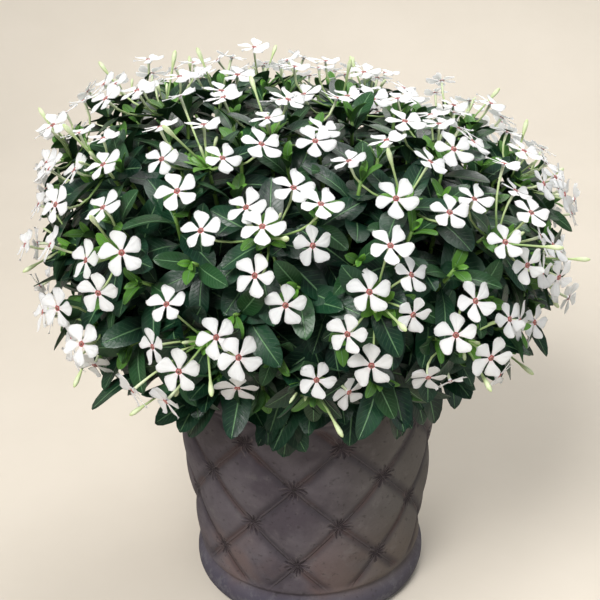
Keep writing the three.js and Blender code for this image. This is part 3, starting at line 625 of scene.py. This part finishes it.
# A tube runs from its hub in a bend that meets the bloom square, and widens into the eye: a low
# ring of coral with a dip in it. The eye's rings are radii, and heights over the bloom's middle.
EYE_RINGS = np.array([[1.05, -1.2], [1.3, 0.2], [1.65, 0.85], [1.5, 1.12], [1.15, 1.2], [0.8, 1.05],
                      [0.45, 0.6], [0.2, -0.1]])
TUBE_RADII = np.array([0.95, 0.75, 0.68, 0.68, 0.78, 0.98])
tube_end = bloom_middle - BLOOM.tube_end * bloom_facing
tube_start = heart[bloom_shoot]
span = np.linalg.norm(tube_end - tube_start, axis=-1, keepdims=True)
tube_bend = tube_end - 0.45 * span * bloom_facing
stalk = bent(tube_start[:, None], tube_bend[:, None], tube_end[:, None],
             np.linspace(0, 1, len(TUBE_RADII))[:, None])
eye = bloom_middle[:, None] + EYE_RINGS[:, 1:] * bloom_facing[:, None]
tube_radius = np.concatenate([TUBE_RADII, EYE_RINGS[:, 0]])
bloom_tubes, tube_cells = tubes(np.concatenate([stalk, eye], 1), tube_radius, bloom_start)
tube_along = np.repeat(np.concatenate([np.linspace(0, 1, len(TUBE_RADII)), np.ones(len(EYE_RINGS))]), RING)
outer_rings = np.ones(len(TUBE_RADII) + 1)
tube_reach = np.repeat(np.concatenate([outer_rings, EYE_RINGS[1:, 0] / 20]), RING)
tube_place = np.stack([np.full(len(tube_reach), 0.5), tube_reach], -1)
tube_finish = np.where(tube_cells[:, 0] // RING < len(TUBE_RADII), 1, 0)

# A bud is a slim, closed spindle on a tube of its own. It stands wherever the solids have one, and
# two younger, shorter ones stand at every hub. Rings have shares of the rise and the length, and radii.
BUD = Sizes(tries=16, rise=29, length=12, spread=1.3)
BUD_RISE = np.array([0, 0.4, 0.75, 1, 1, 1, 1, 1, 1.0])
BUD_LONG = np.array([0, 0, 0, 0.0, 0.2, 0.45, 0.7, 0.9, 0.99])
BUD_WIDE = np.array([0.8, 0.7, 0.7, 0.8, 1.15, 1.55, 1.7, 1.1, 0.25])
BUD_PALE = np.array([0, 0.3, 0.5, 0.65, 0.75, 0.85, 0.9, 0.8, 0.7])
draws = drawn("bud", shoots, BUD.tries)
swings = np.moveaxis(draws - 0.5, -1, 0)
bud_ways = unit(shoot_axis[:, None] + BUD.spread * (
    swings[0][..., None] * shoot_side[:, None] + swings[1][..., None] * shoot_slope[:, None]))
bud_rises = BUD.rise * (1 + 0.3 * swings[2])
grown, (bud_way, bud_rise) = standing(
    heart[:, None] + bud_ways * (bud_rises + BUD.length)[..., None], head_corners, (bud_ways, bud_rises))
young = more_drawn(3000, 2 * SHOOT.count)
young_shoot = np.repeat(shoots, 2)
young_way = unit(shoot_axis[young_shoot] + 1.5 * (
    (young[:, :1] - 0.5) * shoot_side[young_shoot] + (young[:, 1:2] - 0.5) * shoot_slope[young_shoot]))
bud_shoot = np.concatenate([grown, young_shoot])
bud_way = np.concatenate([bud_way, young_way])[:, None]
bud_rise = np.concatenate([bud_rise, 7 + 9 * young[:, 2]])[:, None]
bud_long = np.concatenate([np.full(len(grown), float(BUD.length)), 6 + 4 * young[:, 3]])[:, None]
bud_size = np.concatenate([np.ones(len(grown)), 0.55 + 0.2 * young[:, 4]])[:, None]
buds, bud_cells = tubes(
    heart[bud_shoot][:, None] + bud_way * (bud_rise * BUD_RISE + bud_long * BUD_LONG)[..., None],
    bud_size * BUD_WIDE, shoot_side[bud_shoot])

petal_finish, place = material_of(
    "white_petal", Roughness=0.55, Subsurface_Weight=0.7, Subsurface_Scale=0.004,
    Subsurface_Radius=(1.0, 1.0, 1.0))
across, reach = map_of(petal_finish)
reach = reach * 20
streaks = (across * 58).math("SINE")
blush = ranged(reach + streaks * 0.35, 5.5, 1.9)
colour = mixed(blush * 0.28, (0.87, 0.875, 0.895), (0.86, 0.50, 0.52))
colour = mixed(ranged(reach, 1.95, 1.6), colour, (0.52, 0.08, 0.075))
colour = mixed(ranged(reach, 1.4, 1.1), colour, (0.90, 0.50, 0.38))
colour = mixed(ranged(reach, 0.45, 0.25), colour, (0.42, 0.26, 0.08))
veins = streaks * ranged(reach, 14, 5, 0.2, 1.0)
groove = ranged(abs(across - 0.5), 0.0, 0.22)
finished(petal_finish, colour, groove * 0.3 + veins * 0.06 + noise(place, 300, 2) * 0.4, strength=0.6)

tube_paint, place = material_of("pale_tube", Roughness=0.5)
along = attribute_of(tube_paint, "along")
colour = mixed(ranged(along, 0.1, 0.8), (0.13, 0.27, 0.05), (0.46, 0.55, 0.27))
colour = mixed(ranged(along, 0.72, 0.98), colour, (0.66, 0.72, 0.50))
colour = mixed(noise(place, 300, 2) * 0.3, colour, (0.30, 0.42, 0.14))
finished(tube_paint, colour, noise(place, 900, 2), strength=0.4)

for shoot in range(SHOOT.count):
    mine = bloom_shoot == shoot
    parts = [
        part_of(petals[np.repeat(mine, BLOOM.petals)], petal_cells, petal_place, 0, 0),
        part_of(bloom_tubes[mine], tube_cells, tube_place, tube_along, tube_finish),
        part_of(buds[bud_shoot == shoot], bud_cells, np.ones((len(BUD_WIDE) * RING, 2)),
                np.repeat(BUD_PALE, RING), 1)]
    head = joined_piece(f"blooms_{shoot + 1:02d}", parts, [petal_finish, tube_paint])
    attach(head, "root")
    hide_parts(head_names[shoot])

# The leaves
# They are glossy, oblong and dark green, with a pale midrib and faint side veins, in tiers round
# the green shoots. The youngest, at the shoots' tips, are small and bright.

LEAF = Sizes(each=8, tries=16, length=42, depths=(5.0, 23.0), openings=(52, 72), shares=(0.9, 1.08),
             swing=math.radians(60), opening_swing=34, hang=0.5, half=0.2, droop=0.2, droop_from=0.4)
SKIRT = Sizes(count=48, tries=12, length=50, radii=(108, 116), heights=(227, 243), dips=(50, 36),
              dip_swing=40, swing=1.3)
LEAF_ROLL = math.radians(40)


def opened(axis, away, opening):
    """A way that opens from an axis by an angle, towards a direction square to it, and its upper
    side: the cosine of one and the sine of the other, then the sine of one less the cosine."""
    cosine, sine = np.cos(opening), np.sin(opening)
    return cosine * axis + sine * away, sine * axis - cosine * away


def leaf_tries(leaf, draws):
    """The tries at a shoot's leaves: the root, the way out, the upper face and the length. The way
    opens from the shoot's direction towards one of four sides, and hangs on low shoots."""
    shoot, level, around = leaf // LEAF.each, leaf // 4 % 2, leaf % 4
    swings = np.moveaxis(draws - 0.5, -1, 0)
    root, axis = along_shoot(shoot, np.take(LEAF.depths, level))
    axis, side = axis[:, None], shoot_side[shoot][:, None]
    turn = ((np.pi / 2 * around + 0.7 * shoot)[:, None] + LEAF.swing * swings[1])[..., None]
    away = np.cos(turn) * side + np.sin(turn) * unit(np.cross(axis, side))
    opening = np.radians(np.take(LEAF.openings, level)[:, None] + LEAF.opening_swing * swings[2])
    way, upper = opened(axis, away, opening[..., None])
    hang = LEAF.hang * (1 - np.maximum(0, shoot_out[shoot][:, 2]))[:, None, None]
    way = unit(way - hang * UP)
    face = turned(square_to(way, upper), way, LEAF_ROLL * swings[3])
    length = LEAF.length * np.take(LEAF.shares, level)[:, None] * (1 + 0.2 * swings[4])
    return np.broadcast_to(root[:, None], way.shape), way, face, length


def skirt_tries(leaf, draws):
    """The tries at the leaves that hang over the rim: outwards, dipping, in two rows."""
    radius, height, dip = (
        np.take(values, leaf % 2)[:, None] for values in (SKIRT.radii, SKIRT.heights, SKIRT.dips))
    swings = np.moveaxis(draws - 0.5, -1, 0)
    angle = 2 * np.pi * (leaf[:, None] + swings[0]) / SKIRT.count
    out, side = round_at(1, angle, 0), round_at(1, angle + np.pi / 2, 0)
    way, upper = opened(out, -UP, np.radians(dip + SKIRT.dip_swing * swings[1])[..., None])
    way = unit(way + SKIRT.swing * swings[2][..., None] * side)
    face = turned(square_to(way, upper), way, LEAF_ROLL * swings[3])
    return round_at(radius, angle, height), way, face, SKIRT.length * (1 + 0.2 * swings[4])


# The solids' leaves are found by their ends, which droop below their faces.
stem_names = [f"leafy_stem_{number}" for number in range(1, STEM.count + 1)]
stem_corners = corners_of(stem_names)
leaf_sets = []
for kind, count, sizes, tries_of in (
        ("leaf", LEAF.each * SHOOT.count, LEAF, leaf_tries), ("skirt", SKIRT.count, SKIRT, skirt_tries)):
    leaves = np.arange(count)
    root, way, face, length = tries_of(leaves, drawn(kind, leaves, sizes.tries))
    marks = root + length[..., None] * (way - LEAF.droop * (1 - LEAF.droop_from) * face)
    found, values = standing(marks, stem_corners, (root, way, face, length))
    leaf_sets.append([*values, np.zeros(len(found))])


def clear_leaves(root, way, face, length, youth):
    """Those leaves of a grid, in a row, whose middle and end keep off every bloom's disc: no point
    of them is near its plane and within its radius at once."""
    root, youth = np.broadcast_to(root, way.shape), np.broadcast_to(youth, length.shape)
    root, way, face = (values.reshape(-1, 3) for values in (root, way, face))
    length, youth = length.ravel(), youth.ravel()
    clear = np.ones(len(root), bool)
    for share in (0.45, 0.7, 0.85, 1.0):
        sunk = LEAF.droop * max(0, share - LEAF.droop_from)
        off = (root + length[:, None] * (share * way - sunk * face))[:, None] - bloom_middle
        deep = (off * bloom_facing).sum(-1)
        wide = np.linalg.norm(off - deep[..., None] * bloom_facing, axis=-1)
        clear &= ~((np.abs(deep - 0.5) < 3.5) & (wide < 15.5)).any(1)
    return [values[clear] for values in (root, way, face, length, youth)]


# More shoots stand between the solids' ones, each with leaves in crossed pairs, down to the core.
# A tier has a depth below the tip, an opening in degrees, a length, and how young its leaves are.
TWIGS = 150
TIERS = np.array([[0, 18, 11, 1], [3, 34, 19, 0.6], [10, 50, 31, 0.08], [19, 62, 39, 0],
                  [29, 72, 42, 0], [40, 80, 44, 0]])
tier_depth, tier_opening, tier_length, tier_youth = TIERS.T[..., None]
twigs = np.arange(TWIGS)
twig_draws = more_drawn(10000, TWIGS)
twig_point, twig_out = dome_place((twigs + 0.5) / TWIGS * dome_area[-1], twigs * GOLDEN + 2.1)
twig_axis = unit(twig_out + 0.35 * UP + 0.5 * (twig_draws[:, :3] - 0.5))
twig_side = unit(np.cross(twig_axis, round_at(1, 1.3 * twigs, 0.2)))
twig_tip = twig_point - (13 + 16 * twig_draws[:, 3:4]) * twig_out
draws = more_drawn(20000, TWIGS, len(TIERS), 2)
swings = np.moveaxis(draws - 0.5, -1, 0)
axis, side = twig_axis[:, None, None], twig_side[:, None, None]
turn = (0.9 * twigs[:, None, None] + np.pi / 2 * np.arange(len(TIERS))[:, None]
        + np.pi * np.arange(2) + 0.7 * swings[0])[..., None]
away = np.cos(turn) * side + np.sin(turn) * np.cross(axis, side)
way, upper = opened(axis, away, (np.radians(tier_opening) + 0.5 * swings[1])[..., None])
hang = 0.45 * (1 - np.maximum(0, twig_out[:, 2]))[:, None, None, None]
way = unit(way - hang * UP)
face = turned(square_to(way, upper + 0.25 * UP), way, 0.7 * swings[2])
root = (twig_tip[:, None] - tier_depth * twig_axis[:, None])[:, :, None]
leaf_sets.append(clear_leaves(root, way, face, tier_length * (0.85 + 0.3 * draws[..., 3]), tier_youth))

# Small young leaves stand round every hub too, and hide where its tubes meet.
TUFT = 6
draws = more_drawn(40000, SHOOT.count, TUFT)
turn = (2 * np.pi / TUFT * np.arange(TUFT) + 0.8 * (draws[..., 0] - 0.5) + 0.7 * shoots[:, None])[..., None]
away = np.cos(turn) * shoot_side[:, None] + np.sin(turn) * shoot_slope[:, None]
way, upper = opened(shoot_axis[:, None], away, math.radians(32) + 0.6 * (draws[..., 1:2] - 0.3))
leaf_sets.append(clear_leaves(
    (shoot_tip - shoot_axis)[:, None], way, square_to(way, upper), 11 + 9 * draws[..., 2], 1))

# Loose leaves lie every way over the bush's lower edge, between those that hang there, and others
# reach out of its sides between the blooms.
LOOSE, HANGING = 240, 100
hanging = np.arange(LOOSE) < HANGING
draws = more_drawn(50000, LOOSE)
angle = np.arange(LOOSE) * GOLDEN
out, side = round_at(1, angle, 0), round_at(1, angle + np.pi / 2, 0)
root = round_at(np.where(hanging, 104, 140) + 20 * draws[:, 0], angle,
                np.where(hanging, 214, 236) + np.where(hanging, 36, 76) * draws[:, 1])
aside = np.where(hanging, 2.6, 1.3)[:, None] * (draws[:, 3:4] - 0.5)
down = np.where(hanging, 0.1, -0.25)[:, None] + 0.8 * draws[:, 4:5]
way = unit((0.4 + 0.6 * draws[:, 2:3]) * out + aside * side - down * UP)
face = turned(square_to(way, 0.6 * out + 0.8 * UP), way, 0.9 * (draws[:, 5] - 0.5))
leaf_sets.append(clear_leaves(root, way, face, 34 + 16 * draws[:, 6], 0))

# A leaf's half width and half thickness at shares of its length. It is arched, droops from before
# its middle, is folded up along its midrib, and has wavy rims.
LEAF_SHARE = np.array([0.0, 0.08, 0.2, 0.36, 0.54, 0.72, 0.87, 0.96, 1.0])
LEAF_HALF = np.array([0.10, 0.14, 0.50, 0.86, 1.0, 0.95, 0.70, 0.38, 0.06])
LEAF_THICK = np.array([0.8, 0.6, 0.4, 0.36, 0.34, 0.32, 0.3, 0.26, 0.15])
leaf_root, leaf_way, leaf_face, leaf_length, leaf_youth = (
    np.concatenate(values) for values in zip(*leaf_sets))
leaf_draws = more_drawn(60000, len(leaf_root))
leaf_half = (LEAF.half * leaf_length * (0.93 + 0.16 * leaf_draws[:, 0]))[:, None] * LEAF_HALF
fold = (0.10 + 0.30 * leaf_draws[:, 1])[:, None, None]
wave = 0.35 * np.sin(9 * LEAF_SHARE[:, None] + 6 * leaf_draws[:, 2][:, None, None] + 2 * ACROSS)
bow = 0.05 * np.sin(np.pi * LEAF_SHARE) - LEAF.droop * np.maximum(0, LEAF_SHARE - 0.38) ** 1.2
leaf_bend = (leaf_length[:, None] * bow)[..., None] + (fold * leaf_half[..., None] + wave) * np.abs(ACROSS)
leaves, leaf_cells = blades(
    leaf_root, leaf_way, leaf_face, leaf_length, LEAF_SHARE, leaf_half, LEAF_THICK, leaf_bend)
# A place across the leaf, which is two more on its underside, and one along it.
leaf_place = np.stack([np.tile(0.5 + 0.5 * ACROSS + np.where(TOP < 0, 2, 0), len(LEAF_SHARE)),
                       np.repeat(LEAF_SHARE, RING)], -1)

# The shoots' own stalks, and the stems that carry them down into the soil.
STALK_RINGS = 6
STEM_ROUTE = ((42, 158.3), (42, 172), (42, 187), (46, 200), (52, 216), (58, 238))
steps = np.linspace(0, 1, STALK_RINGS)[:, None]
shoot_path = bent(shoot_root[:, None], shoot_bend[:, None], (heart - 0.5 * shoot_axis)[:, None], steps)
twig_path = twig_tip[:, None] - 58 * (1 - steps) * twig_axis[:, None]
stalk_path = np.concatenate([shoot_path, twig_path])
stalks, stalk_cells = tubes(
    stalk_path, np.linspace(1.7, 1.1, STALK_RINGS), np.concatenate([shoot_side, twig_side]))
stem_turn = sector * (np.arange(STEM.count) + STEM.turn)
stem_path = np.stack([round_at(radius, stem_turn, height) for radius, height in STEM_ROUTE], 1)
stems, stem_cells = tubes(stem_path, STEM.radius, round_at(1, stem_turn + np.pi / 2, 0))
stalk_place = np.full((STALK_RINGS * RING, 2), 0.5)

# The core is the dim inside of the bush: old wood and shaded leaves, drawn in a little.
CORE = Sizes(span=15, reach=127, middle=275, rise=69, drop=92, first=131, last=4, rows=11, axis=0.6)
core_radius, core_height = (values[:, None] for values in dome_outline(
    np.radians(np.linspace(CORE.first, CORE.last, CORE.rows)), CORE.reach, CORE.middle, CORE.rise, CORE.drop))


def core_wedge(stem):
    """A wedge of the core as one shape and its quads: at each level one point near the axis and an
    arc of points, whose radius swells in knobs by the product of two sine waves. Its rings are
    closed by fans of quads at the bottom and the top."""
    angle = stem_turn[stem] + np.linspace(-0.49, 0.49, CORE.span) * sector
    knob = 3 * np.sin(7 * angle + 0.05 * core_height) * np.sin(0.11 * core_height + 3 * angle)
    rings = np.concatenate([round_at(CORE.axis, stem_turn[stem], core_height),
                            round_at(core_radius + knob, angle, core_height)], 1)
    rings[..., 2] = leaning(rings[..., 2], rings[..., 0])
    fan = np.arange(1, CORE.span - 1, 2)
    low = np.stack([0 * fan, fan + 2, fan + 1, fan], -1)
    high = np.stack([0 * fan, fan, fan + 1, fan + 2], -1) + (CORE.rows - 1) * (CORE.span + 1)
    return rings.reshape(1, -1, 3), np.vstack([grid_quads(CORE.rows, CORE.span + 1), low, high])


leaf_finish, place = material_of("glossy_leaf", Specular_IOR_Level=0.28)
across, along = map_of(leaf_finish)
beneath = across.math("GREATER_THAN", 1.2)
off_rib = abs(across - beneath * 2 - 0.5) * 2
youth = attribute_of(leaf_finish, "along")
# Side veins leave the midrib in pairs and bend towards the tip.
vein = ranged(abs((along * 13 - off_rib * 2.2).math("FRACT") - 0.5), 0.10, 0.03) * ranged(off_rib, 0.95, 0.6)
rib = ranged(off_rib, 0.085, 0.025)
patches = ranged(noise(place, 160, 4, 0.6), 0.45, 0.7)
stalk_end = ranged(along, 0.1, 0.0)
colour = mixed(ranged(noise(place, 28, 2, 0.5), 0.35, 0.65), (0.002, 0.014, 0.008), (0.009, 0.042, 0.018))
for mask, share, tint in (
        (patches, 0.4, (0.008, 0.038, 0.022)), (youth, 0.9, (0.105, 0.270, 0.030)),
        (vein, 0.25, (0.05, 0.14, 0.055)), (rib, 0.8, (0.12, 0.24, 0.11)),
        (stalk_end, 0.7, (0.12, 0.24, 0.06)), (beneath, 0.5, (0.055, 0.13, 0.055))):
    colour = mixed(mask * share, colour, tint)
gloss = ranged(noise(place, 240, 2, 0.5), 0.3, 0.7, 0.29, 0.42) + beneath * 0.25
finished(leaf_finish, colour, noise(place, 420, 3, 0.6) * 0.25 - vein * 0.14 - rib * 0.35, 0.8, gloss=gloss)

stalk_finish, place = material_of("green_stalk", Roughness=0.5)
colour = mixed(noise(place, 120, 3), (0.10, 0.22, 0.035), (0.20, 0.34, 0.07))
colour = mixed(ranged(axes_of(place)[2], 0.26, 0.20), colour, (0.09, 0.075, 0.035))
finished(stalk_finish, colour, noise(place, 700, 3), strength=0.5)

shade_finish, place = material_of("shaded_inside", Roughness=0.9, Specular_IOR_Level=0.1)
colour = mixed(ranged(noise(place, 70, 4, 0.7), 0.4, 0.62), (0.001, 0.003, 0.002), (0.006, 0.018, 0.009))
finished(shade_finish, colour, noise(place, 90, 4), unit_height=0.004)

leaf_stem, stalk_stem = stem_at(leaf_root), stem_at(stalk_path[:, -1])
for stem in range(STEM.count):
    mine = leaf_stem == stem
    core, core_cells = core_wedge(stem)
    parts = [
        part_of(leaves[mine], leaf_cells, leaf_place, leaf_youth[mine, None], 0),
        part_of(stalks[stalk_stem == stem], stalk_cells, stalk_place, 0, 1),
        part_of(stems[stem:stem + 1], stem_cells, stalk_place, 0, 1),
        part_of(core, core_cells, np.zeros((core.shape[1], 2)), 0, 2)]
    leafy = joined_piece(f"leaves_{stem + 1}", parts, [leaf_finish, stalk_finish, shade_finish])
    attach(leafy, "root")
    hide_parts(stem_names[stem])

# The floor, the light and the camera
# A plain pale floor that runs back and up, a large soft light from the upper left in front, weaker
# ones from the right and from behind, and a camera at the height that the plant was seen from.

FLOOR_HALF_WIDTH = 3500.0
FLOOR_SWEEP = np.array([[-3000, 0], [700, 0], [1100, 60], [1350, 260], [1450, 600], [1480, 2600]], float)
sides = np.array([-FLOOR_HALF_WIDTH, FLOOR_HALF_WIDTH])[:, None]
back, rise = FLOOR_SWEEP.T
floor_points = np.stack(np.broadcast_arrays(sides, back, rise), -1).reshape(-1, 3)
floor_quads = grid_quads(len(sides), len(FLOOR_SWEEP), wrap_columns=False)[:, ::-1]
backdrop = piece_of("floor", floor_points, floor_quads)
floor_finish, place = material_of("pale_floor", Roughness=0.85)
mottling = weathered(place, 0.3)[0]
finished(floor_finish, mixed(mottling, (0.50, 0.455, 0.385), (0.56, 0.51, 0.44)))
backdrop.data.materials.append(floor_finish)


def soft_light(name, place, aim, size, power, colour):
    """A square soft light at a place, turned to what it lights."""
    data = bpy.data.lights.new(name, "AREA")
    data.size, data.energy, data.color = size, power, colour
    lamp = bpy.data.objects.new(name, data)
    bpy.context.scene.collection.objects.link(lamp)
    lamp.location = place
    lamp.rotation_euler = (Vector(aim) - Vector(place)).to_track_quat("-Z", "Y").to_euler()


soft_light("key", (-0.8, -1.4, 2.0), (0, 0, 0.25), 1.0, 80, (1.0, 0.985, 0.97))
soft_light("fill", (1.6, -1.2, 0.9), (0, 0, 0.2), 1.6, 12, (0.95, 0.98, 1.0))
soft_light("back", (0.6, 0.9, 1.8), (0, 0, 0.3), 1.2, 32, (1.0, 1.0, 1.0))
world = bpy.data.worlds.new("studio")
world.use_nodes = True
world.node_tree.nodes["Background"].inputs["Color"].default_value = (0.86, 0.92, 1.0, 1)
world.node_tree.nodes["Background"].inputs["Strength"].default_value = 0.18
bpy.context.scene.world = world
bpy.context.scene.view_settings.view_transform = "Standard"

CAMERA = Sizes(place=(-0.0032, -0.7004, 0.5564), down=24.55, roll=-1.51, lens=60, sensor=36, reach=50)
camera_data = bpy.data.cameras.new("view")
camera_data.lens, camera_data.sensor_width, camera_data.clip_end = CAMERA.lens, CAMERA.sensor, CAMERA.reach
camera = bpy.data.objects.new("view", camera_data)
bpy.context.scene.collection.objects.link(camera)
camera.matrix_world = (Matrix.Translation(CAMERA.place)
                       @ Euler((math.radians(90 - CAMERA.down), 0, 0)).to_matrix().to_4x4()
                       @ Matrix.Rotation(math.radians(CAMERA.roll), 4, "Z"))
bpy.context.scene.camera = camera
